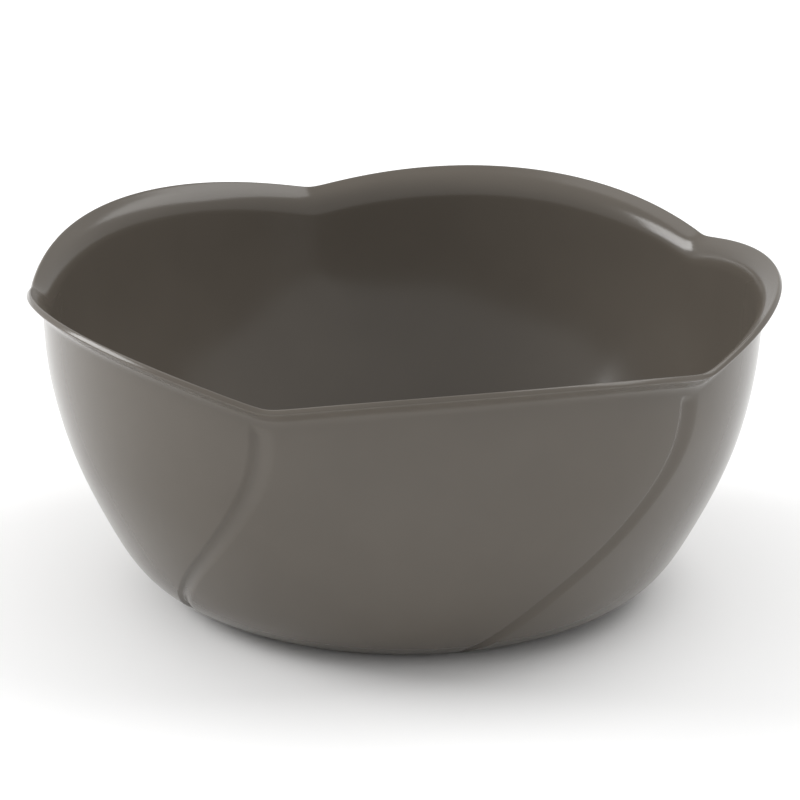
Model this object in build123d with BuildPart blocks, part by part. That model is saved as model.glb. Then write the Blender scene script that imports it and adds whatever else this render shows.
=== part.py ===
from build123d import *
import math
import os

# Deep round bowl in one plastic moulding, its rim and outside shaped as five overlapping petals.
# Millimetres, +Z up, origin at the middle of the face that the bowl rests on.

# Driving dimensions
PETALS = 5
LIP_RADIUS = 125.0  # top corner of the lip, mean over a petal
LIP_HEIGHT = 106.25  # top corner of the lip, mean over a petal
WALL = 2.1  # thickness of wall, floor and lip
FOOT_RADIUS = 73.0  # outer edge of the face that the bowl rests on
RECESS_RADIUS = 66.0  # shallow hollow under the floor, which leaves a ring to rest on
RECESS_DEPTH = 1.5
RECESS_ROUNDING = 0.6
FLOOR_EDGE_SETBACK = 1.5  # the flat floor inside ends this much further out than the foot
FIRST_JOINT_ANGLE = 33.6  # where one of the joints between petals meets the lip, from +X

# Wall and flared lip, as radius and height
WALL_POINTS = [(88.9, 9.4), (99.9, 25.3), (112.1, 51.6), (119.0, 79.0)]
FOOT_DIRECTION = (1.0, 0.42)
NECK_DIRECTION = (0.06, 1.0)
FLARE_ANGLE = 48.0  # how far the lip turns outwards from the wall
FLARE_BEND_RADIUS = 5.0
FLARE_RUN = 5.0  # straight run from the bend to the edge

# Petals
CREST_RISE = 3.0  # lip above its mean height in the middle of a petal
NOTCH_DROP = 9.07  # from there down to a sharp notch between petals
NOTCH_ROUNDING = 1.5  # degrees
LIP_LAP = 0.5  # each petal's lip begins this much further out than the last one ends
LIP_BULGE = 0.75  # lip further out in the middle of a petal than at its ends
LAP_START = -1.0  # degrees from the notch, where one lip begins to pass to the next
LAP_END = 3.0
WAVE_START_HEIGHT = 50.0  # the wall is level below this height and follows the petals at the neck

# Joint line between two petals: a sharp step inwards, then a broad ramp out again
GROOVE_DEPTH = 1.2
GROOVE_EDGE = -3.6  # degrees from the notch, where the step starts
GROOVE_BOTTOM = -2.4
GROOVE_END = 1.2
GROOVE_TOP_GAP = 2.5  # the groove dies out over this height below the neck
GROOVE_FOOT_GAP = 3.0  # and over this height above the foot
SWIRL_START = 12.5  # below the lip; the joint lines run straight down as far as here
SWIRL_RATE = 74.0 / 125.0**2  # degrees for each square millimetre further down

# Points around one petal, in degrees from its first notch
PETAL_ANGLES = [-4.2, -3.6, -3.0, -2.4, -1.5, -0.6, 0.3, 1.2, 2.2, 4.0, 8.0, 15.0, 25.0, 36.0, 47.0, 57.0, 64.0]
WALL_SPANS = 11  # spans of the outline from the foot to the neck, and round the flare's bend
BEND_SPANS = 4

PITCH = 360.0 / PETALS


def smooth_step(value, start, end):
    """Rises from 0 at start to 1 at end, level at both."""
    share = min(max((value - start) / (end - start), 0.0), 1.0)
    return share * share * (3.0 - 2.0 * share)


def lip_rise(angle):
    """Height of the lip above its mean: a parabola over each petal, rounded at the notches."""
    from_notch = abs((angle + PITCH / 2) % PITCH - PITCH / 2)
    rounded = math.hypot(from_notch, NOTCH_ROUNDING)
    return CREST_RISE - NOTCH_DROP * (1.0 - rounded / (PITCH / 2)) ** 2


def lip_reach(angle):
    """Radius of the lip above its mean: it bulges over each petal and steps outwards at the joint."""
    from_joint = (angle - LAP_START) % PITCH + LAP_START
    ramp = 0.5 - from_joint / PITCH
    passing = 1.0 - smooth_step(from_joint, LAP_START, LAP_END)
    bulge = 0.5 * LIP_BULGE * math.cos(math.radians(from_joint * PETALS))
    return LIP_LAP * (ramp - passing) - bulge


def groove(angle):
    """Depth of the joint line at an angle from the notch, as a share of the full depth."""
    from_joint = (angle + PITCH / 2) % PITCH - PITCH / 2
    step_in = smooth_step(from_joint, GROOVE_EDGE, GROOVE_BOTTOM)
    ramp_out = smooth_step(from_joint, GROOVE_BOTTOM, GROOVE_END)
    return step_in - ramp_out


# Half profile of the outside, from the foot to the lower corner of the lip
flare_turn = math.radians(FLARE_ANGLE)
edge_radius = LIP_RADIUS + WALL * math.cos(flare_turn)
edge_height = LIP_HEIGHT - WALL * math.sin(flare_turn)
neck_lean = math.atan2(NECK_DIRECTION[0], NECK_DIRECTION[1])
lip_lean = neck_lean + flare_turn
bend_width = FLARE_BEND_RADIUS * (math.cos(neck_lean) - math.cos(lip_lean))
bend_rise = FLARE_BEND_RADIUS * (math.sin(lip_lean) - math.sin(neck_lean))
neck_radius = edge_radius - bend_width - FLARE_RUN * math.sin(lip_lean)
neck_height = edge_height - bend_rise - FLARE_RUN * math.cos(lip_lean)

with BuildLine(Plane.XZ) as outside:
    wall_line = Spline(
        (FOOT_RADIUS, 0),
        *WALL_POINTS,
        (neck_radius, neck_height),
        tangents=[FOOT_DIRECTION, NECK_DIRECTION],
    )
    bend_line = JernArc(wall_line @ 1, wall_line % 1, FLARE_BEND_RADIUS, -FLARE_ANGLE)
    run_line = Line(bend_line @ 1, bend_line @ 1 + FLARE_RUN * (bend_line % 1))


def station(line, share):
    """Radius, height and outward normal of the half profile at a share of one of its lines."""
    place = line @ share
    along = line % share
    return place.X, place.Z, along.Z, -along.X


stations = [station(wall_line, (i / WALL_SPANS) ** 1.25) for i in range(WALL_SPANS)]
stations += [station(bend_line, i / BEND_SPANS) for i in range(BEND_SPANS + 1)]
stations += [station(run_line, 0.5), station(run_line, 1.0)]


def ring(radius, height, groove_depth):
    """Closed curve around the bowl at one station, following the petals and their joint lines."""
    below_lip = LIP_HEIGHT - height
    swirl = SWIRL_RATE * max(below_lip - SWIRL_START, 0.0) ** 2
    wave = smooth_step(height, WAVE_START_HEIGHT, neck_height)
    lip = smooth_step(height, neck_height, LIP_HEIGHT - WALL)
    depth = groove_depth * (1.0 - smooth_step(height, neck_height - GROOVE_TOP_GAP, neck_height))
    depth *= smooth_step(height, 0.0, GROOVE_FOOT_GAP)
    points = []
    for petal in range(PETALS):
        for angle in PETAL_ANGLES:
            turn = math.radians(FIRST_JOINT_ANGLE + petal * PITCH + angle - swirl)
            reach = radius + lip * lip_reach(angle) - depth * groove(angle)
            rise = height + wave * lip_rise(angle)
            points.append(Vector(reach * math.cos(turn), reach * math.sin(turn), rise))
    spacing = [petal * PITCH + angle for petal in range(PETALS) for angle in PETAL_ANGLES]
    spacing.append(PITCH * PETALS + PETAL_ANGLES[0])
    return Wire([Edge.make_spline(points, periodic=True, parameters=spacing)])


outer_rings = [ring(radius, height, GROOVE_DEPTH) for radius, height, _, _ in stations]
inner_rings = [ring(FOOT_RADIUS + FLOOR_EDGE_SETBACK, RECESS_DEPTH + WALL, 0.0)]
for radius, height, out, up in stations[1:]:
    inner_rings.append(ring(radius - WALL * out, height - WALL * up, 0.0))

outer_skin = Shell.make_loft(outer_rings)
inner_skin = Shell.make_loft(inner_rings)
lip_edge = Shell.make_loft([outer_rings[-1], inner_rings[-1]], ruled=True)
skins = outer_skin.faces() + inner_skin.faces() + lip_edge.faces()
caps = [Face(outer_rings[0]), Face(inner_rings[0])]

with BuildPart() as bowl:
    add(Solid(Shell(skins + caps)))
    with BuildSketch(Plane.XY) as recess:
        Circle(RECESS_RADIUS)
    extrude(amount=RECESS_DEPTH, mode=Mode.SUBTRACT)
    fillet(bowl.edges().filter_by(GeomType.CIRCLE), radius=RECESS_ROUNDING)

bowl.part.label = "bowl"

os.makedirs("parts", exist_ok=True)
export_step(bowl.part, "parts/bowl.step")
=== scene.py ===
"""Looks of a deep petal-rimmed plastic bowl, built as one parametric surface around its CAD part.

Everything is in metres, in the part's own frame: +Z up, the origin at the middle of the resting face.
"""

import logging
import math
from dataclasses import dataclass, field
from enum import Enum

import bpy
import numpy as np
from mathutils import Matrix, Vector


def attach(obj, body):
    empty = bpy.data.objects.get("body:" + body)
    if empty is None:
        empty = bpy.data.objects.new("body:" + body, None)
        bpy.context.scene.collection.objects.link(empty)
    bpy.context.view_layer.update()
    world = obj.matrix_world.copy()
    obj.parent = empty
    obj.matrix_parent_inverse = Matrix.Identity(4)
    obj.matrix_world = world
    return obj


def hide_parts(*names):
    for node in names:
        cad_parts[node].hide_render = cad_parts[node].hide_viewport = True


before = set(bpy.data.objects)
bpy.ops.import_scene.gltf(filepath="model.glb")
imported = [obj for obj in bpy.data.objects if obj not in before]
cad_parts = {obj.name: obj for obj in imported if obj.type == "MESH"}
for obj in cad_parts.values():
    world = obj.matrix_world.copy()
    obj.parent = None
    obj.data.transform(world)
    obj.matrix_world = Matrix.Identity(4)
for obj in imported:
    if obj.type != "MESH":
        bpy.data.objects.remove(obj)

LOG = logging.getLogger("petal_bowl")
MM = 0.001


class Zone(Enum):
    """Stretches of the bowl's outline, in the order in which the outline passes them."""

    UNDERSIDE = "underside"
    OUTSIDE = "outside"
    LIP = "lip"
    INSIDE = "inside"
    FLOOR = "floor"


def smooth_step(value: np.ndarray, start: float, end: float) -> np.ndarray:
    """Rise from 0 at start to 1 at end along 3t^2 - 2t^3, level at both ends.

    Args:
        value: Where to work it out.
        start: Value at which the rise begins.
        end: Value at which the rise is complete.

    Returns:
        The rise at each value.
    """
    share = np.clip((value - start) / (end - start), 0.0, 1.0)
    return share * share * (3.0 - 2.0 * share)


def clamped_curve(points: np.ndarray, start: tuple, end: tuple, count: int) -> tuple[np.ndarray, np.ndarray]:
    """Smooth curve through a few points with a given direction at each end.

    The curve is a cubic in each span, in terms of the chord length, whose slopes at the inner points
    make its curvature continuous.

    Args:
        points: The points, one row each.
        start: Direction in which the curve leaves the first point.
        end: Direction in which it reaches the last point.
        count: How many points of the curve to return, evenly spaced in chord length.

    Returns:
        The curve's points and its unit directions there.
    """
    chord = np.linalg.norm(np.diff(points, axis=0), axis=1)
    knots = np.concatenate([[0.0], np.cumsum(chord)])
    rise = np.diff(points, axis=0) / chord[:, None]
    size = len(points)
    matrix = np.eye(size)
    right = np.zeros((size, 2))
    inner = np.arange(1, size - 1)
    matrix[inner, inner - 1] = chord[1:]
    matrix[inner, inner] = 2.0 * (chord[:-1] + chord[1:])
    matrix[inner, inner + 1] = chord[:-1]
    right[inner] = 3.0 * (chord[1:, None] * rise[:-1] + chord[:-1, None] * rise[1:])
    right[0] = np.array(start) / np.linalg.norm(start)
    right[-1] = np.array(end) / np.linalg.norm(end)
    slopes = np.linalg.solve(matrix, right)
    where = np.linspace(0.0, knots[-1], count)
    span = np.clip(np.searchsorted(knots, where, side="right") - 1, 0, size - 2)
    t = ((where - knots[span]) / chord[span])[:, None]
    a, b = points[span], points[span + 1]
    sa, sb = slopes[span] * chord[span, None], slopes[span + 1] * chord[span, None]
    place = a * (2 * t**3 - 3 * t**2 + 1) + sa * (t**3 - 2 * t**2 + t)
    place = place + b * (3 * t**2 - 2 * t**3) + sb * (t**3 - t**2)
    along = (a - b) * (6 * t**2 - 6 * t) + sa * (3 * t**2 - 4 * t + 1) + sb * (3 * t**2 - 2 * t)
    return place, along / np.linalg.norm(along, axis=1)[:, None]


def turned_arc(start: np.ndarray, direction: np.ndarray, radius: float, turn: float, count: int) -> tuple:
    """Arc that leaves a point in a direction and turns clockwise at a constant radius.

    Args:
        start: First point, as radius and height.
        direction: Unit direction in which the arc leaves it.
        radius: Radius of the arc.
        turn: Angle through which it turns, in radians.
        count: How many points to return.

    Returns:
        The arc's points and its unit directions there.
    """
    angle = np.linspace(0.0, turn, count)[:, None]
    side = np.array([direction[1], -direction[0]])
    place = start + radius * (np.sin(angle) * direction + (1.0 - np.cos(angle)) * side)
    along = np.cos(angle) * direction + np.sin(angle) * side
    return place, along


def outward(along: np.ndarray) -> np.ndarray:
    """Normals on the right of the directions in which an outline runs, which is its outside."""
    return np.column_stack([along[:, 1], -along[:, 0]])


@dataclass(frozen=True)
class PetalRim:
    """Height and reach of the lip around the bowl, repeated for each petal.

    Angles are in degrees from the notch at which a petal begins.
    """

    petals: int = 5
    first_notch: float = 33.6
    crest_rise: float = 3.0 * MM
    notch_drop: float = 9.07 * MM
    notch_rounding: float = 1.5
    lap: float = 0.5 * MM
    bulge: float = 0.75 * MM
    lap_start: float = -1.0
    lap_end: float = 3.0

    @property
    def pitch(self) -> float:
        """Angle from one notch to the next."""
        return 360.0 / self.petals

    def rise(self, angle: np.ndarray) -> np.ndarray:
        """Height above the mean: a parabola over the petal, rounded off at the notches.

        Args:
            angle: Angles around the lip.

        Returns:
            The rise of the lip at each angle.
        """
        half = self.pitch / 2
        from_notch = np.abs((angle + half) % self.pitch - half)
        rounded = np.hypot(from_notch, self.notch_rounding)
        return self.crest_rise - self.notch_drop * (1.0 - rounded / half) ** 2

    def reach(self, angle: np.ndarray) -> np.ndarray:
        """Radius beyond the mean: a bulge over the petal, and a step outwards at the joint.

        The bulge is half a cosine wave per petal, and a steady ramp inwards balances the step.

        Args:
            angle: Angles around the lip.

        Returns:
            How far the lip stands out at each angle.
        """
        from_joint = (angle - self.lap_start) % self.pitch + self.lap_start
        ramp = 0.5 - from_joint / self.pitch
        passing = 1.0 - smooth_step(from_joint, self.lap_start, self.lap_end)
        wave = 0.5 * self.bulge * np.cos(np.radians(from_joint * self.petals))
        return self.lap * (ramp - passing) - wave


@dataclass(frozen=True)
class JointLine:
    """Shallow channel where one petal laps over the next, swirling down from each notch."""

    depth: float = 1.2 * MM
    edge: float = -3.6
    bottom: float = -2.4
    end: float = 1.2
    top_gap: float = 2.5 * MM
    foot_gap: float = 3.0 * MM
    swirl_start: float = 12.5 * MM
    swirl_rate: float = 74.0 / 0.125**2
    swirl_ease: float = 60.0 * MM

    def swirl(self, below_lip: np.ndarray) -> np.ndarray:
        """Angle by which the channel has turned: it grows with the square of the way down.

        Past swirl_ease it goes on along its tangent, so that it doesn't wind ever faster to the foot.

        Args:
            below_lip: Distances below the mean height of the lip.

        Returns:
            Angles in degrees.
        """
        way = np.maximum(below_lip - self.swirl_start, 0.0)
        eased = np.maximum(way - self.swirl_ease, 0.0)
        return self.swirl_rate * (way**2 - eased**2)

    def section(self, angle: np.ndarray, pitch: float) -> np.ndarray:
        """Share of the full depth across the channel: a steep step in, then a broad ramp out.

        Args:
            angle: Angles from the notch.
            pitch: Angle from one notch to the next.

        Returns:
            The share at each angle, from 0 to 1.
        """
        from_joint = (angle + pitch / 2) % pitch - pitch / 2
        step_in = smooth_step(from_joint, self.edge, self.bottom)
        return step_in - smooth_step(from_joint, self.bottom, self.end)


@dataclass(frozen=True)
class Stretch:
    """Rows of the outline that lie in one zone.

    Each row has a point, as radius and height, the unit direction in which the outline runs there, and
    a station, which is the height on the outside of the bowl that the row belongs with.
    """

    zone: Zone
    points: np.ndarray
    along: np.ndarray
    station: np.ndarray


@dataclass(frozen=True)
class Outline:
    """The bowl's section from the middle of the underside, over the lip, to the middle of the floor."""

    lip_radius: float = 125.0 * MM
    lip_height: float = 106.25 * MM
    wall: float = 2.1 * MM
    foot_radius: float = 73.0 * MM
    foot_rounding: float = 0.8 * MM
    recess_radius: float = 66.0 * MM
    recess_depth: float = 1.5 * MM
    recess_rounding: float = 0.6 * MM
    floor_radius: float = 68.0 * MM
    wall_points: tuple = ((0.0889, 0.0094), (0.0999, 0.0253), (0.1121, 0.0516), (0.1190, 0.0790))
    foot_direction: tuple = (1.0, 0.42)
    neck_direction: tuple = (0.06, 1.0)
    flare_angle: float = 48.0
    flare_bend: float = 5.0 * MM
    flare_run: float = 5.0 * MM
    inside_bend: float = 12.0 * MM
    lip_rounding: float = 0.6 * MM
    wall_rows: int = 74
    inner_rows: int = 44
    bend_rows: int = 14
    corner_rows: int = 6
    run_rows: int = 3
    floor_rows: int = 10
    recess_rows: int = 7
    recess_corner_rows: int = 5
    heel_rows: int = 4
    fine_rows: int = 400

    @property
    def turn(self) -> float:
        """Angle through which the flare bends, in radians."""
        return math.radians(self.flare_angle)

    @property
    def up(self) -> np.ndarray:
        """Unit direction of the wall where it passes into the flare."""
        return np.array(self.neck_direction) / np.linalg.norm(self.neck_direction)

    def neck(self) -> np.ndarray:
        """Find where the wall passes into the flare, worked back from the lip.

        Returns:
            The place, as radius and height.
        """
        lean = math.atan2(self.neck_direction[0], self.neck_direction[1])
        lip_lean = lean + self.turn
        bend = self.flare_bend * np.array([
            math.cos(lean) - math.cos(lip_lean),
            math.sin(lip_lean) - math.sin(lean),
        ])
        run = self.flare_run * np.array([math.sin(lip_lean), math.cos(lip_lean)])
        lip = np.array([self.lip_radius, self.lip_height])
        return lip + self.wall * np.array([math.cos(self.turn), -math.sin(self.turn)]) - bend - run

    def outer_points(self) -> np.ndarray:
        """Points that the outside of the wall passes through, from the foot to the neck."""
        return np.array([self.foot_end(), *self.wall_points, self.neck()])

    def stretches(self) -> list[Stretch]:
        """Walk the whole outline.

        Returns:
            The stretches in order, from the middle of the underside to the middle of the floor.
        """
        outside = self.outside()
        lip = self.lip(outside)
        inside = self.inside(lip)
        return [self.underside(), outside, lip, inside, self.floor()]

    def outside(self) -> Stretch:
        """Wall from the foot to the neck, the bend, and the flare as far as the lip's rounding.

        Returns:
            The outside, whose rows belong with their own heights.
        """
        wall, wall_along = clamped_curve(
            self.outer_points(), self.foot_direction, self.neck_direction, self.wall_rows
        )
        bend, bend_along = turned_arc(self.neck(), self.up, self.flare_bend, self.turn, self.bend_rows)
        share = np.linspace(0.0, 1.0, self.run_rows + 1)[1:, None]
        run = bend[-1] + share * (self.flare_run - self.lip_rounding) * bend_along[-1]
        points = np.vstack([wall[:-1], bend, run])
        along = np.vstack([wall_along[:-1], bend_along, np.tile(bend_along[-1], (self.run_rows, 1))])
        return Stretch(Zone.OUTSIDE, points, along, points[:, 1])

    def lip(self, outside: Stretch) -> Stretch:
        """Edge of the lip: two rounded corners with a flat face between them.

        Args:
            outside: The stretch that the lip follows.

        Returns:
            The lip, whose rows all belong with the end of the flare.
        """
        quarter = -math.pi / 2
        rounding = self.lip_rounding
        tip_along = outside.along[-1]
        low, low_along = turned_arc(outside.points[-1], tip_along, -rounding, quarter, self.corner_rows)
        face = low[-1] - outward(tip_along[None])[0] * (self.wall - 2 * rounding)
        high, high_along = turned_arc(face, low_along[-1], -rounding, quarter, self.corner_rows)
        points = np.vstack([low[1:], high])
        tip_height = outside.points[-1, 1] + rounding * tip_along[1]
        return Stretch(
            Zone.LIP, points, np.vstack([low_along[1:], high_along]), np.full(len(points), tip_height)
        )

    def inside(self, lip: Stretch) -> Stretch:
        """Flare, bend and wall on the inside, from the lip down to the edge of the floor.

        The bend is rounder than the outer one, so it begins lower on the wall.

        Args:
            lip: The stretch that the inside follows.

        Returns:
            The inside. The flare belongs with the lip, the bend with the outer points across the
            plastic from it, and the wall with its own height.
        """
        neck_out = outward(self.up[None])[0]
        earlier = (self.inside_bend - self.flare_bend - self.wall) * math.tan(self.turn / 2)
        start = self.neck() - self.wall * neck_out - earlier * self.up
        bend, bend_along = turned_arc(start, self.up, self.inside_bend, self.turn, self.bend_rows)
        bend_station = bend[:, 1] + self.wall * outward(bend_along)[:, 1]
        run = np.linspace(lip.points[-1], bend[-1], self.run_rows + 1)[1:-1]

        outer, outer_along = clamped_curve(
            self.outer_points(), self.foot_direction, self.neck_direction, self.fine_rows
        )
        across = outer - self.wall * outward(outer_along)
        picks = [int(np.argmin(np.abs(outer[:, 1] - height))) for _, height in self.wall_points]
        guides = np.vstack([self.floor_edge(), across[picks], start])
        wall, wall_along = clamped_curve(guides, (1.0, 0.0), self.neck_direction, self.inner_rows)
        wall, wall_along = wall[::-1][1:], -wall_along[::-1][1:]
        return Stretch(
            Zone.INSIDE,
            np.vstack([run, bend[::-1], wall]),
            np.vstack([np.tile(-bend_along[-1], (len(run), 1)), -bend_along[::-1], wall_along]),
            np.concatenate([np.full(len(run), lip.station[-1]), bend_station[::-1], wall[:, 1]]),
        )

    def floor_edge(self) -> np.ndarray:
        """Point at which the inside of the wall meets the flat floor."""
        return np.array([self.floor_radius, self.recess_depth + self.wall])

    def floor(self) -> Stretch:
        """Flat floor, from its edge to near the middle.

        Returns:
            The floor, whose rows belong with their own heights.
        """
        radius = np.linspace(self.floor_radius, 0.0, self.floor_rows + 2)[1:-1]
        height = np.full(self.floor_rows, self.floor_edge()[1])
        along = np.tile([-1.0, 0.0], (self.floor_rows, 1))
        return Stretch(Zone.FLOOR, np.column_stack([radius, height]), along, height)

    def foot_end(self) -> np.ndarray:
        """Find the end of the rounding between the resting ring and the wall.

        Returns:
            The place, as radius and height.
        """
        lean = math.atan2(self.foot_direction[1], self.foot_direction[0])
        shift = self.foot_rounding * np.array([math.sin(lean), 1.0 - math.cos(lean)])
        return np.array([self.foot_radius, 0.0]) + shift

    def underside(self) -> Stretch:
        """Recess under the floor and the ring that the bowl rests on, from the middle outwards.

        Returns:
            The underside, whose rows belong with their own heights.
        """
        rounding = self.recess_rounding
        quarter = math.pi / 2
        level = np.array([1.0, 0.0])
        down = np.array([0.0, -1.0])
        disc_radius = np.linspace(0.0, self.recess_radius - rounding, self.recess_rows + 2)[1:-1]
        disc = np.column_stack([disc_radius, np.full(self.recess_rows, self.recess_depth)])
        start = np.array([self.recess_radius - rounding, self.recess_depth])
        inner, inner_along = turned_arc(start, level, rounding, quarter, self.recess_corner_rows)
        ring_start = np.array([self.recess_radius, rounding])
        outer, outer_along = turned_arc(ring_start, down, -rounding, -quarter, self.recess_corner_rows)
        lean = math.atan2(self.foot_direction[1], self.foot_direction[0])
        ring = np.array([[(self.recess_radius + self.foot_radius) / 2, 0.0]])
        ring_end = np.array([self.foot_radius, 0.0])
        heel, heel_along = turned_arc(ring_end, level, -self.foot_rounding, -lean, self.heel_rows)
        points = np.vstack([disc, inner, outer, ring, heel[:-1]])
        along = np.vstack([
            np.tile(level, (self.recess_rows, 1)),
            inner_along,
            outer_along,
            level[None],
            heel_along[:-1],
        ])
        return Stretch(Zone.UNDERSIDE, points, along, points[:, 1])


@dataclass(frozen=True)
class MouldedPlastic:
    """Satin injection-moulded plastic: a solid colour with a very fine grain from the mould."""

    name: str = "warm_grey_plastic"
    color: tuple = (0.108, 0.094, 0.078)
    shade_change: float = 0.03
    roughness: float = 0.17
    roughness_change: float = 0.03
    ior: float = 1.42
    grain_size: float = 0.35 * MM
    grain_height: float = 0.004 * MM
    sink_size: float = 28.0 * MM
    sink_height: float = 0.015 * MM
    grain_detail: float = 3.0
    sink_detail: float = 2.0
    noise_low: float = 0.3
    noise_high: float = 0.7

    def material(self) -> bpy.types.Material:
        """Build the node material, its patterns in Object coordinates.

        Returns:
            The material.
        """
        material = bpy.data.materials.new(self.name)
        material.use_nodes = True
        nodes = material.node_tree.nodes
        links = material.node_tree.links
        shader = nodes["Principled BSDF"]
        shader.inputs["IOR"].default_value = self.ior
        shader.inputs["Metallic"].default_value = 0.0
        place = nodes.new("ShaderNodeTexCoord")

        def noise(size: float, detail: float) -> bpy.types.Node:
            """Noise over Object coordinates whose features are about size metres across."""
            node = nodes.new("ShaderNodeTexNoise")
            node.inputs["Scale"].default_value = 1.0 / size
            node.inputs["Detail"].default_value = detail
            links.new(place.outputs["Object"], node.inputs["Vector"])
            return node

        def spread(source: bpy.types.Node, low: float, high: float) -> bpy.types.Node:
            """Carry a noise from its usual range to one from low to high."""
            node = nodes.new("ShaderNodeMapRange")
            node.inputs["From Min"].default_value = self.noise_low
            node.inputs["From Max"].default_value = self.noise_high
            node.inputs["To Min"].default_value = low
            node.inputs["To Max"].default_value = high
            links.new(source.outputs["Fac"], node.inputs["Value"])
            return node

        cloud = noise(self.sink_size, self.sink_detail)
        grain = noise(self.grain_size, self.grain_detail)
        tint = nodes.new("ShaderNodeMix")
        tint.data_type = "RGBA"
        tint.inputs["A"].default_value = (*[c * (1.0 - self.shade_change) for c in self.color], 1.0)
        tint.inputs["B"].default_value = (*[c * (1.0 + self.shade_change) for c in self.color], 1.0)
        links.new(spread(cloud, 0.0, 1.0).outputs["Result"], tint.inputs["Factor"])
        links.new(tint.outputs["Result"], shader.inputs["Base Color"])
        rough = spread(grain, self.roughness - self.roughness_change, self.roughness + self.roughness_change)
        links.new(rough.outputs["Result"], shader.inputs["Roughness"])

        bumps = nodes.new("ShaderNodeBump")
        bumps.inputs["Strength"].default_value = 1.0
        bumps.inputs["Distance"].default_value = self.grain_height
        links.new(grain.outputs["Fac"], bumps.inputs["Height"])
        sinks = nodes.new("ShaderNodeBump")
        sinks.inputs["Strength"].default_value = 1.0
        sinks.inputs["Distance"].default_value = self.sink_height
        links.new(cloud.outputs["Fac"], sinks.inputs["Height"])
        links.new(bumps.outputs["Normal"], sinks.inputs["Normal"])
        links.new(sinks.outputs["Normal"], shader.inputs["Normal"])
        return material


@dataclass
class PetalBowl:
    """The whole bowl, one moulding: a closed skin over the outline, carried around the axis."""

    outline: Outline = field(default_factory=Outline)
    rim: PetalRim = field(default_factory=PetalRim)
    joint: JointLine = field(default_factory=JointLine)
    finish: MouldedPlastic = field(default_factory=MouldedPlastic)
    wave_start: float = 50.0 * MM
    joint_columns: int = 44
    petal_columns: int = 46
    joint_from: float = -4.6
    joint_to: float = 2.2
    column_easing: float = 0.28

    def columns(self) -> np.ndarray:
        """Angles of the grid's columns from the first notch, close together across each joint."""
        across = np.linspace(self.joint_from, self.joint_to, self.joint_columns, endpoint=False)
        rest_end = self.joint_from + self.rim.pitch
        share = np.linspace(0.0, 1.0, self.petal_columns, endpoint=False)
        eased = share + self.column_easing * (smooth_step(share, 0.0, 1.0) - share)
        petal = np.concatenate([across, self.joint_to + eased * (rest_end - self.joint_to)])
        return (petal[None] + self.rim.pitch * np.arange(self.rim.petals)[:, None]).ravel()

    def surface(self) -> np.ndarray:
        """Work out the grid: each outline row is carried around the axis.

        A row's radius and height are its outline point, plus the rim's rise and reach, which fade
        in towards the lip, minus the joint line's depth along the outline's normal. Its columns turn
        with the swirl, so that the joint lines run along the grid.

        Returns:
            Points on a grid of rows by columns.
        """
        stretches = self.outline.stretches()
        points = np.vstack([stretch.points for stretch in stretches])
        normal = outward(np.vstack([stretch.along for stretch in stretches]))
        station = np.concatenate([stretch.station for stretch in stretches])[:, None]
        carved = [np.full(len(stretch.points), stretch.zone is Zone.OUTSIDE) for stretch in stretches]
        strength = np.concatenate(carved).astype(float)[:, None]
        neck_height = self.outline.neck()[1]
        tip_height = self.outline.lip_height - self.outline.wall
        angle = self.columns()[None]
        wave = smooth_step(station, self.wave_start, neck_height)
        lip = smooth_step(station, neck_height, tip_height)
        fade = 1.0 - smooth_step(station, neck_height - self.joint.top_gap, neck_height)
        fade = fade * smooth_step(station, 0.0, self.joint.foot_gap)
        depth = self.joint.depth * strength * fade * self.joint.section(angle, self.rim.pitch)
        reach = points[:, :1] + lip * self.rim.reach(angle) - depth * normal[:, :1]
        height = points[:, 1:] + wave * self.rim.rise(angle) - depth * normal[:, 1:]
        swirl = self.joint.swirl(self.outline.lip_height - station)
        turn = np.radians(self.rim.first_notch + angle - swirl)
        return np.stack([reach * np.cos(turn), reach * np.sin(turn), height], axis=-1)

    def build(self) -> bpy.types.Object:
        """Make the mesh, closed by a fan of triangles at each pole, and dress it.

        Returns:
            The bowl.
        """
        grid = self.surface()
        rows, cols = grid.shape[:2]
        base = np.array([[0.0, 0.0, self.outline.recess_depth]])
        floor = np.array([[0.0, 0.0, self.outline.recess_depth + self.outline.wall]])
        points = np.vstack([grid.reshape(-1, 3), base, floor])
        row_start = cols * np.arange(rows - 1)[:, None]
        next_start = row_start + cols
        col = np.arange(cols)
        following = (col + 1) % cols
        corners = [row_start + col, row_start + following, next_start + following, next_start + col]
        quads = np.stack(corners, axis=-1).reshape(-1, 4)
        last = (rows - 1) * cols
        under_fan = np.column_stack([np.full(cols, rows * cols), following, col])
        floor_fan = np.column_stack([np.full(cols, rows * cols + 1), last + col, last + following])
        mesh = bpy.data.meshes.new("petal_bowl")
        mesh.from_pydata(points, [], quads.tolist() + under_fan.tolist() + floor_fan.tolist())
        mesh.polygons.foreach_set("use_smooth", np.ones(len(mesh.polygons), bool))
        mesh.update()
        bowl = bpy.data.objects.new("petal_bowl", mesh)
        bpy.context.scene.collection.objects.link(bowl)
        mesh.materials.append(self.finish.material())
        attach(bowl, "root")
        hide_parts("bowl")
        LOG.info("%s: %d rows, %d columns, %d faces", bowl.name, rows, cols, len(mesh.polygons))
        return bowl


@dataclass(frozen=True)
class Softbox:
    """One rectangular studio light that faces the bowl."""

    name: str
    place: tuple
    size: tuple
    power: float

    def build(self, target: Vector) -> bpy.types.Object:
        """Make the light and turn it to the target.

        Args:
            target: Point that the light faces.

        Returns:
            The light.
        """
        data = bpy.data.lights.new(self.name, "AREA")
        data.shape = "RECTANGLE"
        data.size, data.size_y = self.size
        data.energy = self.power
        light = bpy.data.objects.new(self.name, data)
        light.location = self.place
        light.rotation_euler = (target - Vector(self.place)).to_track_quat("-Z", "Y").to_euler()
        bpy.context.scene.collection.objects.link(light)
        LOG.info("%s: %.1f W", self.name, self.power)
        return light


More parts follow.
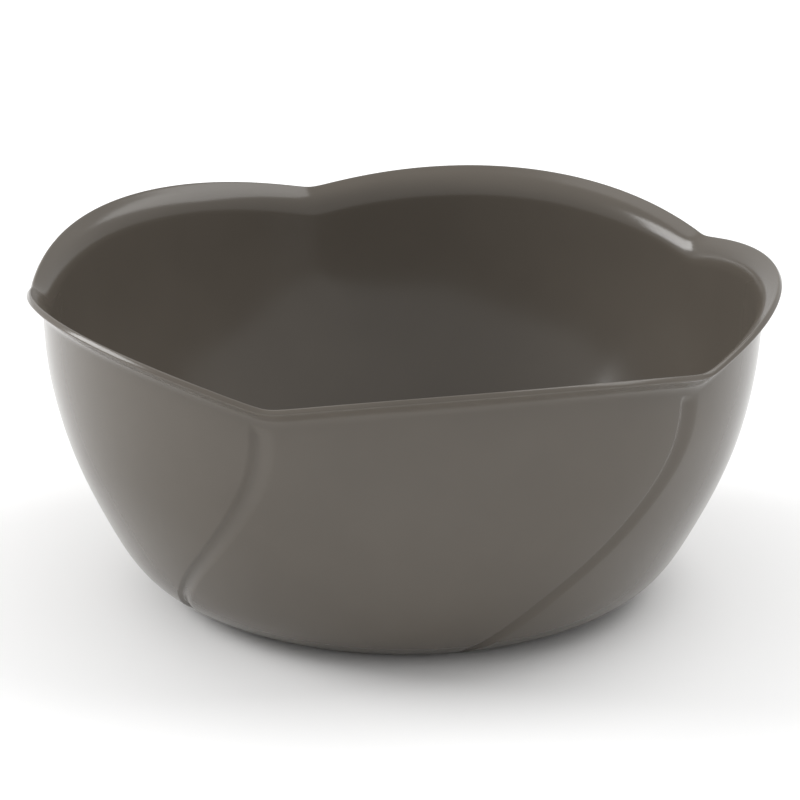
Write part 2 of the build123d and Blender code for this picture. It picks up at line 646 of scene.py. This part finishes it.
@dataclass
class Studio:
    """Pale floor, soft light all round and the camera."""

    floor_size: float = 8.0
    floor_color: tuple = (0.97, 0.97, 0.97)
    floor_roughness: float = 0.9
    surround: float = 0.73
    lights: tuple = (
        Softbox("right_box", (0.70, 0.19, 1.07), (0.9, 0.9), 7.6),
        Softbox("left_box", (-1.11, 0.20, 0.65), (0.7, 0.5), 9.6),
        Softbox("top_box", (-0.55, 0.35, 1.15), (0.5, 0.5), 1.1),
    )
    elevation: float = 19.5
    roll: float = -0.584
    distance: float = 1.8528
    focal: float = 249.0
    aside: float = 0.745 * MM
    above: float = 40.7 * MM
    sensor: float = 36.0

    def build(self, rim_height: float) -> None:
        """Make the whole studio.

        Args:
            rim_height: Height of the lip, at the level of which the view is centred.
        """
        self.build_floor()
        self.build_surround()
        target = Vector((0.0, 0.0, rim_height / 2))
        for light in self.lights:
            light.build(target)
        self.build_camera(rim_height)

    def build_floor(self) -> None:
        """Lay a plain pale floor under the bowl."""
        half = self.floor_size / 2
        corners = [(-half, -half, 0.0), (half, -half, 0.0), (half, half, 0.0), (-half, half, 0.0)]
        mesh = bpy.data.meshes.new("floor")
        mesh.from_pydata(corners, [], [(0, 1, 2, 3)])
        floor = bpy.data.objects.new("floor", mesh)
        material = bpy.data.materials.new("pale_floor")
        material.use_nodes = True
        shader = material.node_tree.nodes["Principled BSDF"]
        shader.inputs["Base Color"].default_value = (*self.floor_color, 1.0)
        shader.inputs["Roughness"].default_value = self.floor_roughness
        mesh.materials.append(material)
        bpy.context.scene.collection.objects.link(floor)

    def build_surround(self) -> None:
        """Light the whole surround evenly, as in a light tent."""
        world = bpy.data.worlds.new("surround")
        world.use_nodes = True
        background = world.node_tree.nodes["Background"]
        background.inputs["Color"].default_value = (1.0, 1.0, 1.0, 1.0)
        background.inputs["Strength"].default_value = self.surround
        bpy.context.scene.world = world

    def build_camera(self, rim_height: float) -> None:
        """Place a long lens in front of the bowl, looking down on it.

        Args:
            rim_height: Height of the point on the axis that the camera's place is counted from.
        """
        tilt = math.radians(self.elevation)
        back = Vector((0.0, -math.cos(tilt), math.sin(tilt)))
        side = Vector((1.0, 0.0, 0.0))
        up = Vector((0.0, math.sin(tilt), math.cos(tilt)))
        place = Vector((0.0, 0.0, rim_height)) + back * self.distance - side * self.aside - up * self.above
        turn = Matrix((side, up, back)).transposed() @ Matrix.Rotation(-math.radians(self.roll), 3, "Z")
        data = bpy.data.cameras.new("camera")
        data.lens = self.focal
        data.sensor_width = self.sensor
        camera = bpy.data.objects.new("camera", data)
        camera.matrix_world = Matrix.Translation(place) @ turn.to_4x4()
        bpy.context.scene.collection.objects.link(camera)
        bpy.context.scene.camera = camera


def main() -> None:
    logging.basicConfig(level=logging.INFO, format="%(name)s: %(message)s")
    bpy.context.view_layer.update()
    bowl = PetalBowl()
    bowl.build()
    Studio().build(bowl.outline.lip_height)
    bpy.context.scene.view_settings.view_transform = "Standard"


if __name__ == "__main__":
    main()
